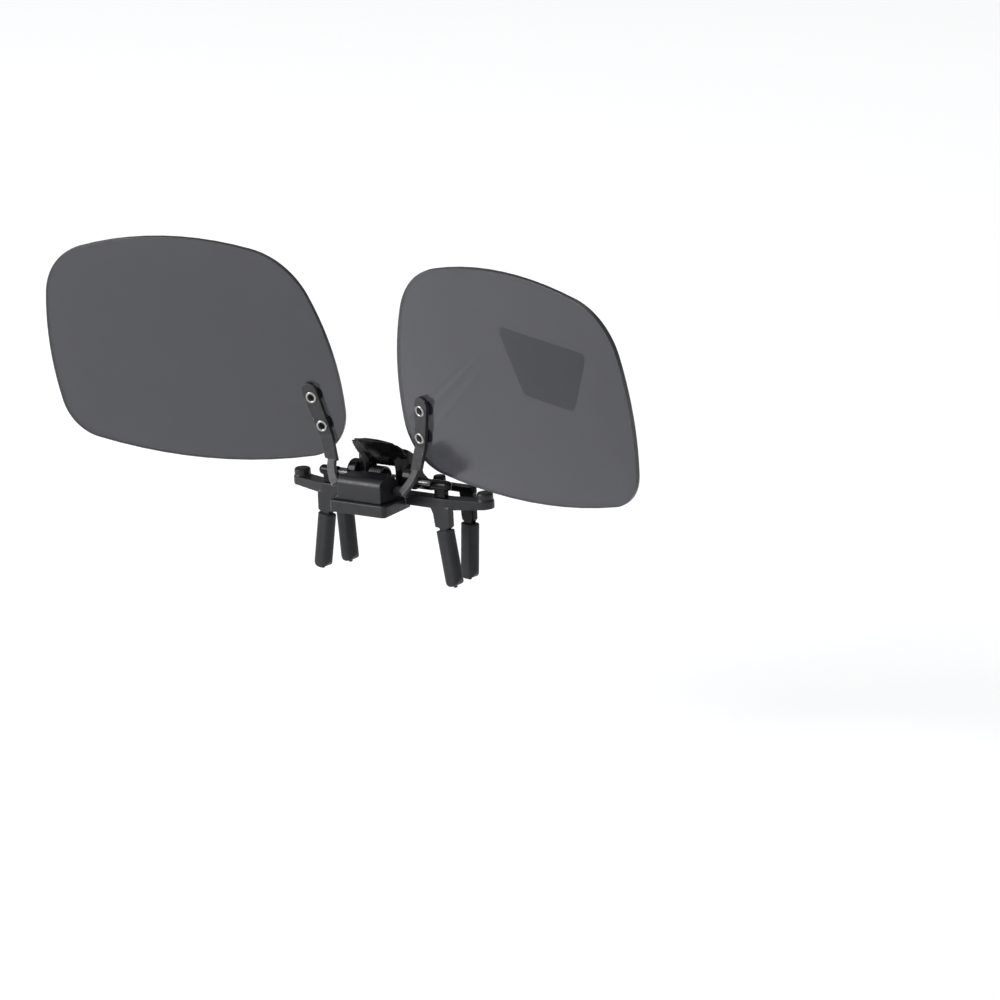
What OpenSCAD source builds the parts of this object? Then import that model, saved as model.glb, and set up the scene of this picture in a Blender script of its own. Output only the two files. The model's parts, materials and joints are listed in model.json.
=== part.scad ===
// Clip-on sunglasses: a sprung four-prong clip that grips a spectacle front,
// carrying two frameless tinted lenses on a flip-up hinge.
// Units are millimetres. +X is the viewer's right, +Y points to the wearer's face, +Z is up.
// The origin is midway between the front and rear prongs, level with the underside of the bar
// that rests on the spectacle rim. The lenses are drawn flipped up.

/* [Lenses] */
// Angle of the lenses from closed (0) towards fully flipped up
flip = 170.5; // [0:0.1:180]
// Wrap of each lens towards the temple
wrap = 10.1; // [0:0.1:15]
// Thickness of a lens
lens_t = 0.8; // [0.7:0.1:2]
// Distance from the flip axis to the near face of a lens
lens_offset = 4.4; // [3:0.05:6]

/* [Flip hinge] */
// Flip axis, distance behind the origin (negative is in front)
hinge_y = -5.95; // [-8:0.05:-5]
// Flip axis height
hinge_z = 2.95; // [2:0.05:4]
// Radius of the flip axle
axle_r = 0.5; // [0.4:0.05:0.8]
// Half width of the hinge housing
block_w = 4.74; // [4:0.02:6]

/* [Stems] */
// Thickness of the metal stems
stem_t = 0.8; // [0.5:0.05:1.2]
// Radius of a rivet's shank
rivet_r = 0.75; // [0.5:0.05:1]

/* [Clip] */
// Height of the bar that lies on the rim
bar_h = 1.85; // [1.4:0.05:3]
// Thickness of the ledge under the housing
ledge_h = 2.1; // [1.5:0.05:3]
// Distance of each row of prongs from the middle plane
prong_y = 2.95; // [2.5:0.05:4]
// Jaw pin, distance behind the origin (negative is in front)
pin_y = -2.5; // [-3:0.05:-2]
// Jaw pin height
pin_z = 4; // [3.5:0.05:5]
// Radius of the jaw pin
pin_r = 0.5; // [0.4:0.05:0.7]

/* [Sleeves] */
// Width of a soft sleeve
sleeve_w = 3.3; // [2.5:0.05:4]
// Depth of a soft sleeve
sleeve_d = 2.4; // [2:0.05:3]
// Length of a soft sleeve
sleeve_l = 9.8; // [8:0.1:12]

/* [Hidden] */
$fn = 48;
gap = 0.04;
snug = 0.02;
core_w = 1.6;
core_t = 1.25;
sleeve_top = -3.73;
front_splay = -9.5;
rear_splay = 3.8;
front_x = 13.06;
rear_x = 13.9;
bar_front = -3.55;
bar_back = -0.65;
ledge_top = 1.28;
tip_x = 20.15;
tip_y = -0.55;
tip_r = 1.6;
step_u = 8.9;
bend_v = 8;
bend = 15;
rivets = [[11.5, 14.9], [10.3, 9.65]];
washer_t = 0.3;

// Corner circles of the lens outline [u, v, radius], going round, and the radius of the
// long arc that follows each one. u runs outwards from the middle, v down from the axis.
corners = [[15, 12.5, 9.1], [55, 13.4, 8.2], [51.3, 30.4, 11.4], [22.8, 27.7, 14.3]];
bows = [108.4, 56.3, 71.4, 48.6];

// ---- placing ----

// Mirrors a right-hand piece to the left when s is -1
module side(s) {
    if (s < 0) mirror([1, 0, 0]) children();
    else children();
}

// Lens axes: x runs along the lens, z up it when closed, y away from its stem side
module on_lens(s) {
    translate([0, hinge_y, hinge_z]) rotate([-flip, 0, 0])
        side(s) rotate([0, 0, wrap]) children();
}

// Turns a drawing in the XZ plane into a plate from y = back - t to y = back
module plate(back, t) {
    translate([0, back, 0]) rotate([90, 0, 0]) linear_extrude(t) children();
}

// Turns a drawing of the YZ plane into a slab from x = from to x = to
module slab(from, to) {
    translate([from, 0, 0]) rotate([90, 0, 90]) linear_extrude(to - from) children();
}

// A rod along X
module rod(from, to, y, z, r) {
    translate([from, y, z]) rotate([0, 90, 0]) cylinder(h = to - from, r = r);
}

// ---- lens outline ----

function xy(c) = [c[0], -c[1]];

// Centre of an arc of radius R that encloses circles a and b and touches both
function bow_centre(a, b, R) =
    let (p = xy(a), q = xy(b), d = norm(q - p), e = (q - p) / d)
    let (x = (pow(R - a[2], 2) - pow(R - b[2], 2) + d * d) / (2 * d))
    let (h = sqrt(pow(R - a[2], 2) - x * x))
    p + e * x + [e[1], -e[0]] * h;

// Where the arc about c touches corner circle a
function touch(c, a) = xy(a) + (xy(a) - c) / norm(xy(a) - c) * a[2];

// Points of an arc about c from p to q, running clockwise, leaving out q
function arc(c, p, q, n) =
    let (r = norm(p - c), a = atan2(p[1] - c[1], p[0] - c[0]), b = atan2(q[1] - c[1], q[0] - c[0]))
    let (turn = (a - b + 360) % 360)
    [for (i = [0:n - 1]) c + r * [cos(a - turn * i / n), sin(a - turn * i / n)]];

module lens_outline() {
    c = [for (i = [0:3]) bow_centre(corners[i], corners[(i + 1) % 4], bows[i])];
    polygon([for (i = [0:3])
        let (j = (i + 1) % 4, p = touch(c[i], corners[i]), q = touch(c[i], corners[j]))
        each concat(arc(c[i], p, q, 10), arc(xy(corners[j]), q, touch(c[j], corners[j]), 14))]);
}

module lens(s) {
    color([0.2, 0.21, 0.23, 0.8]) on_lens(s) plate(-lens_offset, lens_t) difference() {
        lens_outline();
        for (p = rivets) translate(xy(p)) circle(r = rivet_r + snug, $fn = 24);
    }
}

// Four-sided label with rounded corners on the outer face of the right-hand lens
module lens_label() {
    pts = [[34.4, 32.3], [52.7, 30.8], [48.6, 21.8], [38.1, 22.7]];
    color([0.15, 0.16, 0.17]) on_lens(1) plate(-lens_offset - lens_t, 0.12)
        polygon([for (i = [0:3])
            let (p = xy(pts[i]), before = xy(pts[(i + 3) % 4]), after = xy(pts[(i + 1) % 4]))
            let (a = heading(before, p), b = heading(p, after))
            for (k = [0:6]) let (t = a + (b - a + 360) % 360 * k / 6)
                p + [sin(t), -cos(t)]]);
}

// Direction from p to q in degrees
function heading(p, q) = atan2(q[1] - p[1], q[0] - p[0]);

// ---- stems and rivets ----

// Upper part of a stem, flat against the lens, and the lower part that bends away from it
module stem_upper() {
    polygon([[13.2, -15.7], [10.4, -16.35], [8.65, -bend_v + 0.01], [11.12, -bend_v + 0.01]]);
    translate([11.8, -16]) circle(r = 1.45);
}

module stem_lower() {
    polygon([[8.65, 0], [11.12, 0], [10.15, 4.15], [7.75, 4.6]]);
}

// The narrow tail: a flat strip that bends inwards in its own plane
module tail_outline(r, w, turn) {
    translate([-w / 2, -0.7]) square([w, 0.71]);
    translate([-r, 0]) intersection() {
        difference() {
            circle(r = r + w / 2, $fn = 96);
            circle(r = r - w / 2, $fn = 96);
        }
        polygon([[0, 0], [2 * r, 0], [2 * r, 1.2 * r], [2 * r * cos(turn), 2 * r * sin(turn)]]);
    }
}

module stem(s) {
    mid = -lens_offset + stem_t / 2;
    color([0.3, 0.3, 0.31]) difference() {
        union() {
            on_lens(s) plate(mid + stem_t / 2, stem_t) difference() {
                stem_upper();
                for (p = rivets) translate(xy(p)) circle(r = rivet_r + snug, $fn = 24);
            }
            on_lens(s) translate([0, mid, -bend_v]) rotate([-bend, 0, 0]) {
                rod(8.7, 11.07, 0, 0, stem_t / 2);
                plate(stem_t / 2, stem_t) stem_lower();
            }
            on_lens(s) translate([step_u, mid + 4.4 * sin(bend), 4.4 * cos(bend) - bend_v])
                rotate([-38, 0, 0]) plate(stem_t / 2, stem_t) tail_outline(6.8, 1.5, 40);
            translate([0, hinge_y, hinge_z]) side(s) rod(5.1, 7.5, 0, 0, 0.9);
        }
        translate([0, hinge_y, hinge_z]) side(s) rod(4.5, 7.2, 0, 0, axle_r + snug);
    }
}

// Half section of a hollow rivet: a tube with a rolled head at each end
module rivet_section(len) {
    translate([0.57, 0]) square([rivet_r - 0.57, len]);
    translate([0.83, len]) intersection() {
        circle(r = 0.24, $fn = 24);
        translate([-0.4, 0]) square([0.8, 0.4]);
    }
    translate([0.83, 0]) intersection() {
        circle(r = 0.24, $fn = 24);
        translate([-0.4, -0.4]) square([0.8, 0.4]);
    }
}

module lens_rivets() {
    len = stem_t + lens_t + washer_t;
    color([0.75, 0.75, 0.74]) for (s = [-1, 1], p = rivets) on_lens(s)
        translate([p[0], -lens_offset + stem_t - len, -p[1]]) rotate([-90, 0, 0])
            rotate_extrude() rivet_section(len);
}

module rivet_washers() {
    color([0.1, 0.1, 0.11]) for (s = [-1, 1], p = rivets) on_lens(s)
        plate(-lens_offset - lens_t, washer_t) translate(xy(p)) difference() {
            circle(r = 1.35);
            circle(r = rivet_r + snug, $fn = 24);
        }
}

// ---- hinge ----

module housing_profile() {
    translate([-9.95, ledge_top]) square([5.2, 2.77]);
    translate([-8.55, ledge_top]) square([3.8, 4.17]);
    translate([-8.55, 4.05]) circle(r = 1.4);
    translate([hinge_y, hinge_z]) circle(r = 1.5);
}

module hinge_housing() {
    color([0.24, 0.24, 0.26]) difference() {
        slab(-block_w, block_w) housing_profile();
        rod(-3.3, 3.3, hinge_y, hinge_z, 1.18);
        translate([-3.3, -7.8, ledge_top - 1]) cube([6.6, 1.85, 3.97]);
        translate([-3.3, hinge_y - 1.18, ledge_top - 1]) cube([6.6, 2.36, 2.67]);
        rod(-6, 6, hinge_y, hinge_z, axle_r + gap);
        for (s = [-1, 1]) side(s) translate([3.2, -5.6, 4.7]) cube([3, 2, 2]);
    }
}

module flip_axle() {
    color([0.62, 0.62, 0.63]) rod(-7.1, 7.1, hinge_y, hinge_z, axle_r);
}

// Round cam with one flat for the closed position and one for the flipped-up position
module detent_cam() {
    color([0.5, 0.5, 0.51]) translate([0, hinge_y, hinge_z]) difference() {
        rod(-2.8, 2.8, 0, 0, 1.05);
        rod(-4, 4, 0, 0, axle_r + snug);
        translate([-4, -1.8, -2]) cube([8, 1, 4]);
        rotate([-flip, 0, 0]) translate([-4, -1.8, -2]) cube([8, 1, 4]);
    }
}

// Leaf spring standing in front of the cam
module detent_spring() {
    color([0.68, 0.68, 0.7]) translate([-3, hinge_y - 1.05, ledge_top + 0.05]) cube([6, 0.22, 2.85]);
}

// ---- fixed half of the clip ----

// Plan of the bar with its two swept wings
module bar_plan() {
    for (s = [0, 1]) mirror([s, 0]) {
        polygon([[0, bar_front], [13.5, bar_front], [tip_x + 0.29, tip_y - 1.57],
                 [tip_x - 0.4, tip_y + 1.55], [13.5, bar_back], [0, bar_back]]);
        translate([tip_x, tip_y]) circle(r = tip_r);
    }
}

// One front leg in the XZ plane, with the thin core that goes into the sleeve
module front_leg() {
    polygon([[10.3, 0.3], [14.55, 0.3], [14.6, -3], [13.85, -3.6], [11.3, -3.3], [10.9, -0.9]]);
    translate([front_x, sleeve_top]) rotate(-front_splay)
        translate([-core_w / 2, -9]) square([core_w, 9.4]);
}

// Turned-up tip of a wing
module wing_tip() {
    r = tip_r - 0.15;
    translate([tip_x, tip_y, 0.9]) rotate_extrude() {
        square([r - 0.5, 2.4]);
        square([r, 1.9]);
        translate([r - 0.5, 1.9]) circle(r = 0.5, $fn = 32);
    }
}

module ledge() {
    translate([0, 0, ledge_top - ledge_h]) linear_extrude(ledge_h)
        polygon([[-5.6, -10.8], [5.6, -10.8], [6.05, -10.35], [4.8, -1.9], [-4.8, -1.9], [-6.05, -10.35]]);
}

module front_body() {
    color([0.25, 0.25, 0.27]) {
        difference() {
            union() {
                linear_extrude(bar_h) bar_plan();
                for (s = [-1, 1]) side(s) wing_tip();
            }
            for (s = [-1, 1]) side(s) translate([15.5, -5, 0]) rotate([0, -4, 0])
                translate([0, 0, -3]) cube([9, 8, 3]);
        }
        ledge();
        for (s = [-1, 1]) side(s) plate(-prong_y + core_t / 2, core_t) front_leg();
    }
}

// Rounded barrel that carries one end of the jaw pin, on a short web
module pin_post(s) {
    color([0.08, 0.08, 0.09]) side(s) difference() {
        union() {
            rod(10.4, 13.55, pin_y, pin_z, 0.9);
            translate([13.55, pin_y, pin_z]) sphere(r = 0.9);
            translate([11.1, pin_y - 0.6, bar_h]) cube([2.3, 1.2, 1.8]);
        }
        rod(9, 13.45, pin_y, pin_z, pin_r + snug);
    }
}

module jaw_pin() {
    color([0.6, 0.6, 0.61]) rod(-13.4, 13.4, pin_y, pin_z, pin_r);
}

// ---- sprung jaw ----

// Cross-section of the thumb pad: a flat arch with rounded ends
module pad_section(extra) {
    intersection() {
        translate([0, -26]) difference() {
            circle(r = 26 + extra, $fn = 180);
            circle(r = 24.75, $fn = 180);
        }
        translate([-4.7, -4]) square([9.4, 6]);
    }
    for (x = [-4.7, 4.7]) translate([x, -1.04]) circle(r = 0.62 + extra, $fn = 32);
}

// Pad sloping down to the back, with fine grip ribs across it
module thumb_pad() {
    translate([0, -5.75, 11.75]) rotate([-33, 0, 0]) {
        plate(6.2, 6.4) pad_section(0);
        for (i = [0:7]) plate(1 + 0.6 * i, 0.26) pad_section(0.14);
    }
}

// Side view of the web that leans forward under the pad
module web_profile() {
    polygon([[-5.4, 11.1], [-1, 8.5], [-1, 6.1], [-2.1, 6.1], [-3.4, 7.9]]);
}

module tab_legs() {
    intersection() {
        translate([0, 0, 2.9]) linear_extrude(7)
            for (s = [0, 1]) mirror([s, 0])
                polygon([[2.75, -3.2], [3.5, -3.45], [4.3, -3.35], [5.5, -2.7], [5.5, -1], [2.75, -1]]);
        slab(-6, 6) polygon([[-4, 2.9], [-1, 2.9], [-1, 8.5], [-2.9, 9.7], [-4, 9.7]]);
    }
}

module thumb_tab() {
    difference() {
        thumb_pad();
        slab(-7, 7) polygon([[-9, 14], [-6.15, 12.3], [-3.9, 9.2], [-3, 7.4], [-9, 7.4]]);
    }
    slab(-3.5, 3.5) web_profile();
    tab_legs();
}

// Side view of the ears and the arm that runs back over the rim
module ear_profile() {
    translate([pin_y + 0.1, 4.7]) circle(r = 2.05);
    polygon([[pin_y, 3.1], [pin_y + 0.9, 6.4], [0.8, 3.9], [3.4, 2.9],
             [3.4, 1.9], [2.5, 1.9], [0.3, 2.5], [-1, 2.7]]);
}

// Side view of the low bridge between the ears
module bridge_profile() {
    polygon([[-0.4, 2.15], [2.4, 1.8], [3.5, 1.8], [3.5, 2.75], [-0.4, 2.75]]);
}

module rear_wing() {
    translate([0, 0, 1.7]) linear_extrude(1.25) {
        translate([-14.8, 2.3]) square([29.6, 1.4]);
        for (x = [-14.8, 14.8]) translate([x, 3]) circle(r = 0.7, $fn = 32);
    }
    for (x = [-7.6, 7.6]) translate([x, 3, 2.8]) rotate_extrude() {
        square([0.75, 1.3]);
        square([1.1, 0.95]);
        translate([0.75, 0.95]) circle(r = 0.35, $fn = 32);
    }
}

// One rear leg in the XZ plane, with its thin core
module rear_leg() {
    polygon([[12.3, 2.3], [15.2, 2.3], [15.2, -2.9], [14.6, -3.6], [13.1, -3.6], [12.5, -2.9]]);
    translate([rear_x, sleeve_top]) rotate(-rear_splay) translate([-core_w / 2, -9]) square([core_w, 9.4]);
}

module rear_jaw() {
    color([0.05, 0.05, 0.055]) difference() {
        union() {
            thumb_tab();
            for (s = [-1, 1]) side(s) {
                slab(5.1, 7) ear_profile();
                plate(prong_y + core_t / 2, core_t) rear_leg();
            }
            slab(-8.6, 8.6) bridge_profile();
            rear_wing();
        }
        rod(-10, 10, pin_y, pin_z, pin_r + gap);
        slab(-2.9, 2.9) translate([pin_y, pin_z]) circle(r = 2.15);
    }
}

// Close-wound coil on the jaw pin, with one arm on the bar and one on the jaw's bridge
module torsion_spring() {
    wire = 0.22;
    coil = 1.75;
    turns = 6;
    pitch = 0.43;
    color([0.7, 0.7, 0.72]) translate([-2.3, pin_y, pin_z]) {
        for (i = [0:turns - 1]) translate([i * pitch, 0, 0]) rotate([0, 90, 0])
            rotate_extrude() translate([coil, 0]) circle(r = wire, $fn = 16);
        translate([0, 0, -coil]) rotate([-90, 0, 0]) cylinder(h = 1.8, r = wire, $fn = 16);
        translate([(turns - 1) * pitch, -coil, -2.6]) cylinder(h = 2.6, r = wire, $fn = 16);
    }
}

// ---- sleeves ----

// Soft sleeve hanging from its open top, with a moulding nub at the tip
module sleeve() {
    r = 1.15;
    difference() {
        union() {
            intersection() {
                translate([0, 0, -sleeve_l]) linear_extrude(sleeve_l) rounded(sleeve_w, sleeve_d, r);
                plate(3, 6) translate([0, -sleeve_l / 2]) rounded(sleeve_w + 0.01, sleeve_l, 1.6);
            }
            translate([0, 0, -sleeve_l - 0.35]) cylinder(h = 1, r = 0.35, $fn = 24);
            translate([0, 0, -1.5]) linear_extrude(1.5) rounded(sleeve_w, sleeve_d, r);
        }
        translate([-core_w / 2 - snug, -core_t / 2 - snug, -9.1])
            cube([core_w + 2 * snug, core_t + 2 * snug, 10]);
    }
}

// Rectangle with rounded corners, centred
module rounded(w, d, r) {
    square([w - 2 * r, d], center = true);
    square([w, d - 2 * r], center = true);
    for (x = [-1, 1], y = [-1, 1]) translate([x * (w / 2 - r), y * (d / 2 - r)]) circle(r = r, $fn = 32);
}

module front_sleeve(s) {
    color([0.2, 0.2, 0.21]) side(s)
        translate([front_x, -prong_y, sleeve_top]) rotate([0, front_splay, 0]) sleeve();
}

module rear_sleeve(s) {
    color([0.2, 0.2, 0.21]) side(s)
        translate([rear_x, prong_y, sleeve_top]) rotate([0, rear_splay, 0]) sleeve();
}

front_body();
hinge_housing();
flip_axle();
detent_cam();
detent_spring();
stem(-1);  // stem_left
stem(1);  // stem_right
lens(-1);  // lens_left
lens(1);  // lens_right
lens_rivets();
rivet_washers();
lens_label();
rear_jaw();
jaw_pin();
pin_post(-1);  // pin_post_left
pin_post(1);  // pin_post_right
torsion_spring();
front_sleeve(-1);  // sleeve_front_left
front_sleeve(1);  // sleeve_front_right
rear_sleeve(-1);  // sleeve_rear_left
rear_sleeve(1);  // sleeve_rear_right
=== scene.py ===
import json
import math

import bmesh
import bpy
from mathutils import Matrix, Vector


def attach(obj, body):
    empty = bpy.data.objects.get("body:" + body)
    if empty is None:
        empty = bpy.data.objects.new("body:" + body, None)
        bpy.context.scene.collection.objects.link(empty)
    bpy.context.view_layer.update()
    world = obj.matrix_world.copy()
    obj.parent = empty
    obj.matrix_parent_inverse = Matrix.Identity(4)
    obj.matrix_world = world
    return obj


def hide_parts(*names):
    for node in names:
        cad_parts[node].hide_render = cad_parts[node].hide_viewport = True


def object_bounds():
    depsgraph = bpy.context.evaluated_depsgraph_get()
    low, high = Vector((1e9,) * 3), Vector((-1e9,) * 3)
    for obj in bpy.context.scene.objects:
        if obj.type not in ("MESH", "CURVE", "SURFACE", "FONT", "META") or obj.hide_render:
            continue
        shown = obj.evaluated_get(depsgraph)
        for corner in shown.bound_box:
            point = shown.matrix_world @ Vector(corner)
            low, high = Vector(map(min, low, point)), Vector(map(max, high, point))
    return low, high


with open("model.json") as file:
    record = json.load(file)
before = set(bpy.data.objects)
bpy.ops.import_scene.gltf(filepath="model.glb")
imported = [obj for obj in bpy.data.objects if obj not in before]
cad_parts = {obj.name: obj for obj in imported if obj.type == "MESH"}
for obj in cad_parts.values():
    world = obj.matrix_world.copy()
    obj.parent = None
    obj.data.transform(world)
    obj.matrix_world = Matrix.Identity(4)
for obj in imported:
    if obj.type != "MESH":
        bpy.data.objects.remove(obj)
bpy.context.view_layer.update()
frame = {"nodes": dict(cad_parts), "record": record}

MM = 0.001
SIDES = ("left", "right")
NODES = frame["nodes"]
BODY_OF = {n: b for b, names in frame["record"]["behaviour"]["bodies"].items() for n in names}


# ---- materials ----

class Nodes:
    """A node tree with short ways to add and link nodes."""

    def __init__(self, tree):
        self.tree = tree
        tree.nodes.clear()

    def add(self, kind, **values):
        node = self.tree.nodes.new(kind)
        for key, value in values.items():
            if key in node.inputs:
                node.inputs[key].default_value = value
            else:
                setattr(node, key, value)
        return node

    def link(self, out, into):
        self.tree.links.new(out, into)
        return out


def noise(t, where, scale, detail=3.0, rough=0.5):
    """Noise over the object's own coordinates, scale in cells per millimetre."""
    n = t.add("ShaderNodeTexNoise", Scale=scale / MM, Detail=detail, Roughness=rough)
    t.link(where, n.inputs["Vector"])
    return n.outputs["Fac"]


def spread(t, fac, low, high, from_low=0.3, from_high=0.7):
    """Stretches a value from one range to another; noise mostly lies from 0.3 to 0.7."""
    m = t.add("ShaderNodeMapRange")
    m.inputs["From Min"].default_value = from_low
    m.inputs["From Max"].default_value = from_high
    m.inputs["To Min"].default_value = low
    m.inputs["To Max"].default_value = high
    t.link(fac, m.inputs["Value"])
    return m.outputs["Result"]


def blend_colour(t, fac, a, b):
    """From colour a, which is fixed or another node's output, to the fixed colour b."""
    m = t.add("ShaderNodeMix", data_type="RGBA")
    factor, first, second = m.inputs[0], m.inputs[6], m.inputs[7]
    if isinstance(a, tuple):
        first.default_value = (*a, 1)
    else:
        t.link(a, first)
    second.default_value = (*b, 1)
    t.link(fac, factor)
    return m.outputs[2]


def finish_of(name, dark, light, patch, rough, grain, depth, speckle=None, wear_and_edge_highlight=None, **sockets):
    """A procedural surface: colour and gloss vary in soft patches, and fine grain gives the bump.

    patch and grain are cells per millimetre, depth is the bump height in millimetres, speckle is
    (cells per millimetre, colour, share) and the edge colour argument is the colour of outer edges:
    partly rubbed wear, partly a painted highlight along them."""
    mat = bpy.data.materials.new(name)
    mat.use_nodes = True
    t = Nodes(mat.node_tree)
    out = t.add("ShaderNodeOutputMaterial")
    bsdf = t.add("ShaderNodeBsdfPrincipled")
    for key, value in sockets.items():
        bsdf.inputs[key.replace("_", " ")].default_value = value
    where = t.add("ShaderNodeTexCoord").outputs["Object"]
    colour = blend_colour(t, spread(t, noise(t, where, patch), 0, 1), dark, light)
    if speckle:
        cells, tint, share = speckle
        spots = spread(t, noise(t, where, cells, 1.0), 0, 1, 1 - share, 1.08 - share)
        colour = blend_colour(t, spots, colour, tint)
    # Outer edges are lightened by pointiness: partly rubbed wear, partly a painted highlight standing in
    # for light caught on the edges.
    if wear_and_edge_highlight:
        edge = t.add("ShaderNodeNewGeometry").outputs["Pointiness"]
        rubbed_and_highlit = t.add("ShaderNodeMath", operation="MULTIPLY")
        t.link(spread(t, edge, 0, 1, 0.53, 0.62), rubbed_and_highlit.inputs[0])
        t.link(spread(t, noise(t, where, patch * 2), 0.15, 1), rubbed_and_highlit.inputs[1])
        colour = blend_colour(t, rubbed_and_highlit.outputs[0], colour, wear_and_edge_highlight)
    t.link(colour, bsdf.inputs["Base Color"])
    t.link(spread(t, noise(t, where, patch * 1.7), *rough), bsdf.inputs["Roughness"])
    bump = t.add("ShaderNodeBump", Strength=1.0, Distance=depth * MM)
    t.link(noise(t, where, grain, 2.0), bump.inputs["Height"])
    t.link(bump.outputs["Normal"], bsdf.inputs["Normal"])
    t.link(bsdf.outputs["BSDF"], out.inputs["Surface"])
    return mat


MATERIALS = {
    "body_plastic": finish_of("body_plastic", (0.0070, 0.0072, 0.0086), (0.0115, 0.0118, 0.0136), 0.5,
                              (0.30, 0.42), 7, 0.006, wear_and_edge_highlight=(0.05, 0.05, 0.054),
                              Specular_IOR_Level=0.34),
    "jaw_plastic": finish_of("jaw_plastic", (0.002, 0.002, 0.0022), (0.004, 0.004, 0.0043), 0.6,
                             (0.10, 0.20), 5, 0.003, Specular_IOR_Level=0.16),
    "stem_metal": finish_of("stem_metal", (0.017, 0.017, 0.018), (0.028, 0.028, 0.030), 1.1,
                            (0.30, 0.46), 6, 0.006, speckle=(9, (0.07, 0.07, 0.072), 0.40),
                            wear_and_edge_highlight=(0.30, 0.30, 0.305), Metallic=0.4),
    "steel": finish_of("steel", (0.11, 0.11, 0.115), (0.18, 0.18, 0.185), 1.0, (0.22, 0.36), 8, 0.003,
                       Metallic=1.0),
    "rivet_silver": finish_of("rivet_silver", (0.26, 0.26, 0.255), (0.40, 0.40, 0.39), 1.5,
                              (0.20, 0.34), 8, 0.004, Metallic=1.0),
    "sleeve_rubber": finish_of("sleeve_rubber", (0.0085, 0.0090, 0.0108), (0.0135, 0.0141, 0.0165), 0.45,
                               (0.46, 0.62), 5, 0.010, Specular_IOR_Level=0.26, Sheen_Weight=0.05),
    "washer_plastic": finish_of("washer_plastic", (0.008, 0.008, 0.009), (0.014, 0.014, 0.015), 0.8,
                                (0.35, 0.5), 6, 0.004),
    "label_film": finish_of("label_film", (0.030, 0.030, 0.033), (0.040, 0.040, 0.044), 0.3,
                            (0.30, 0.42), 4, 0.003, Alpha=0.62),
    "lens_tint": finish_of("lens_tint", (0.008, 0.0083, 0.014), (0.011, 0.0114, 0.019), 0.05,
                           (0.12, 0.18), 0.4, 0.0004, Alpha=0.79, IOR=1.5),
    "lens_edge": finish_of("lens_edge", (0.008, 0.008, 0.010), (0.012, 0.012, 0.015), 0.2,
                           (0.16, 0.28), 6, 0.003, Alpha=0.92),
}


# ---- meshes ----

def cad_copy(node):
    """The node's solid in millimetres, with its split corners joined."""
    bm = bmesh.new()
    bm.from_mesh(NODES[node].data)
    bmesh.ops.scale(bm, vec=(1000, 1000, 1000), verts=bm.verts)
    bmesh.ops.remove_doubles(bm, verts=bm.verts, dist=0.002)
    mesh = bpy.data.meshes.new(node)
    bm.to_mesh(mesh)
    bm.free()
    return mesh


def solve(mesh, steps):
    """The mesh after a list of modifiers, each (kind, settings)."""
    ob = bpy.data.objects.new("work", mesh)
    bpy.context.scene.collection.objects.link(ob)
    for kind, settings in steps:
        m = ob.modifiers.new(kind, kind)
        for key, value in settings.items():
            setattr(m, key, value)
    made = bpy.data.meshes.new_from_object(ob.evaluated_get(bpy.context.evaluated_depsgraph_get()))
    bpy.data.objects.remove(ob)
    return made


def shown(mesh, name, node, material, sharp=180):
    """Puts a millimetre mesh into the frame as the piece that stands for a CAD node."""
    mesh.transform(Matrix.Scale(MM, 4))
    mesh.materials.clear()
    mesh.materials.append(MATERIALS[material])
    mesh.shade_smooth()
    if sharp < 180:
        mesh.set_sharp_from_angle(angle=math.radians(sharp))
    ob = bpy.data.objects.new(name, mesh)
    bpy.context.scene.collection.objects.link(ob)
    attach(ob, BODY_OF[node])
    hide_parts(node)
    return ob


def moulded(node, voxel, passes, material):
    """A moulded piece with every edge softly rounded."""
    mesh = solve(cad_copy(node), [
        ("REMESH", dict(mode="VOXEL", voxel_size=voxel, adaptivity=0.0)),
        ("SMOOTH", dict(factor=0.5, iterations=passes)),
    ])
    return shown(mesh, node + "_moulded", node, material)


def crisp(node, width, segments, material):
    """A cut or turned piece, with a fine bevel along its sharp edges where width isn't 0."""
    steps = []
    if width:
        steps = [
            ("DECIMATE", dict(decimate_type="DISSOLVE", angle_limit=math.radians(0.6))),
            ("BEVEL", dict(width=width, segments=segments, limit_method="ANGLE",
                           angle_limit=math.radians(35), harden_normals=False)),
        ]
    return shown(solve(cad_copy(node), steps), node + "_finished", node, material, 40)


def lens(hand):
    """A polished plate with a darker ground edge all round. Returns the normal of its faces."""
    mesh = crisp("lens_" + hand, 0.12, 3, "lens_tint").data
    mesh.materials.append(MATERIALS["lens_edge"])
    normal = Vector(max(mesh.polygons, key=lambda p: p.area).normal)
    for p in mesh.polygons:
        p.material_index = 0 if abs(p.normal.dot(normal)) > 0.985 else 1
    return normal


def separate_parts(bm):
    """The groups of faces that hang together."""
    todo = set(bm.faces)
    while todo:
        part, edge = [], [todo.pop()]
        while edge:
            face = edge.pop()
            part.append(face)
            for near in {f for e in face.edges for f in e.link_faces} & todo:
                todo.discard(near)
                edge.append(near)
        yield part


def lens_rivets(normals, painted_shade_radius):
    """Rolled rings whose hollow centre is coloured with the dark washer plastic as painted shade; the
    radius of that centre is given in metres.
    """
    mesh = crisp("lens_rivets", 0, 0, "rivet_silver").data
    # The dark washer plastic on the rivet's own bore faces is painted shade, not a separate part.
    mesh.materials.append(MATERIALS["washer_plastic"])
    bm = bmesh.new()
    bm.from_mesh(mesh)
    for rivet in separate_parts(bm):
        corners = {v for face in rivet for v in face.verts}
        middle = sum((v.co for v in corners), Vector()) / len(corners)
        axis = normals["left" if middle.x < 0 else "right"]
        for face in rivet:
            off = face.calc_center_median() - middle
            if (off - axis * off.dot(axis)).length < painted_shade_radius:
                face.material_index = 1
    bm.to_mesh(mesh)
    bm.free()


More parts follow.
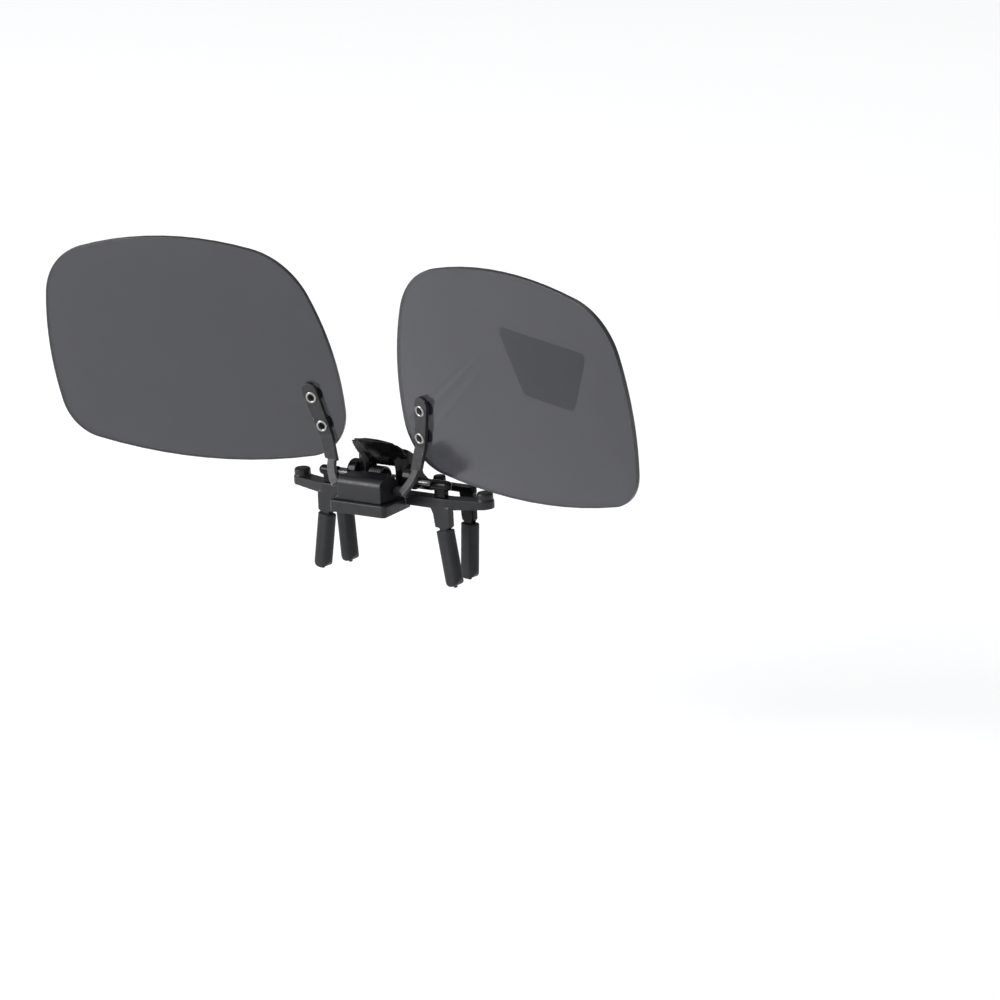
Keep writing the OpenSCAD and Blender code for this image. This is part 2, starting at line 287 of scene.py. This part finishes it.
# Mouldings, with the edge rounding that suits each one's size
moulded("front_body", 0.13, 5, "body_plastic")
moulded("hinge_housing", 0.09, 4, "body_plastic")
moulded("rear_jaw", 0.13, 5, "jaw_plastic")
for hand in SIDES:
    moulded("pin_post_" + hand, 0.09, 4, "jaw_plastic")
    moulded("stem_" + hand, 0.07, 3, "stem_metal")
    for row in ("front", "rear"):
        moulded(f"sleeve_{row}_{hand}", 0.1, 6, "sleeve_rubber")

# Lenses and what is fixed to them
lens_normals = {hand: lens(hand) for hand in SIDES}
# Faces within 0.66 mm of each rivet's axis get the painted shade.
lens_rivets(lens_normals, 0.66 * MM)
crisp("rivet_washers", 0.05, 2, "washer_plastic")
crisp("lens_label", 0.02, 1, "label_film")

# Metal parts of the two hinges
for node in ("flip_axle", "jaw_pin"):
    crisp(node, 0.1, 2, "steel")
for node in ("detent_cam", "detent_spring", "torsion_spring"):
    crisp(node, 0, 0, "steel")


# ---- floor, light and camera ----

def pale_floor(height, half):
    """A plain white floor, lit a little from inside so that it stays white in soft light."""
    mesh = bpy.data.meshes.new("floor")
    bm = bmesh.new()
    bmesh.ops.create_grid(bm, x_segments=1, y_segments=1, size=half)
    bm.to_mesh(mesh)
    bm.free()
    mesh.materials.append(finish_of(
        "pale_floor", (0.88, 0.88, 0.88), (0.90, 0.90, 0.90), 0.001, (0.75, 0.8), 0.01, 0.01,
        Emission_Color=(1, 1, 1, 1), Emission_Strength=0.34))
    ob = bpy.data.objects.new("floor", mesh)
    ob.location = (0, 0, height)
    bpy.context.scene.collection.objects.link(ob)


def softbox(name, at, aim, size, power):
    light = bpy.data.lights.new(name, "AREA")
    light.shape = "RECTANGLE"
    light.size, light.size_y = size
    light.energy = power
    ob = bpy.data.objects.new(name, light)
    ob.location = at
    ob.rotation_euler = (Vector(aim) - Vector(at)).to_track_quat("-Z", "Y").to_euler()
    bpy.context.scene.collection.objects.link(ob)


def studio():
    """A room that is bright in front and dark behind, with a pale backdrop in the picture itself."""
    world = bpy.data.worlds.new("studio")
    world.use_nodes = True
    t = Nodes(world.node_tree)
    out = t.add("ShaderNodeOutputWorld")
    room = t.add("ShaderNodeBackground", Color=(0.97, 0.98, 1.0, 1))
    towards = t.add("ShaderNodeSeparateXYZ")
    t.link(t.add("ShaderNodeTexCoord").outputs["Generated"], towards.inputs[0])
    t.link(spread(t, towards.outputs["Y"], 0.95, 0.18, -0.5, 0.3), room.inputs["Strength"])
    backdrop = t.add("ShaderNodeBackground", Color=(0.97, 0.975, 0.98, 1), Strength=1.0)
    pick = t.add("ShaderNodeMixShader")
    t.link(t.add("ShaderNodeLightPath").outputs["Is Camera Ray"], pick.inputs[0])
    t.link(room.outputs[0], pick.inputs[1])
    t.link(backdrop.outputs[0], pick.inputs[2])
    t.link(pick.outputs[0], out.inputs[0])
    bpy.context.scene.world = world
    bpy.context.scene.view_settings.view_transform = "Standard"


def camera(at, right, up, back, lens_mm):
    data = bpy.data.cameras.new("camera")
    data.lens = lens_mm
    data.sensor_width = 36.0
    data.clip_start = 0.05
    ob = bpy.data.objects.new("camera", data)
    turn = Matrix((right, up, back)).transposed().to_4x4()
    ob.matrix_world = Matrix.Translation(at) @ turn
    bpy.context.scene.collection.objects.link(ob)
    bpy.context.scene.camera = ob


# The clip hangs on spectacles, so the floor lies below the lowest reach of the turned-down
# lenses, which is no further below the origin than they stand above it when turned up
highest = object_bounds()[1].z
pale_floor(-highest - 1 * MM, 6.0)

centre = (0, 0, 0.01)
softbox("key", (-0.9, -1.1, 0.6), centre, (0.8, 0.8), 17)
softbox("top", (-0.2, 0.2, 1.4), centre, (1.4, 1.4), 3)
studio()

# From the front right and a little above, 0.94 m away, through a long lens
camera(
    at=Vector((0.57636, -0.70831, 0.22342)),
    right=Vector((0.79412554, 0.60598678, -0.04631027)),
    up=Vector((-0.10948527, 0.21759616, 0.9698788)),
    back=Vector((0.59781067, -0.76513524, 0.23914529)),
    lens_mm=195.36,
)
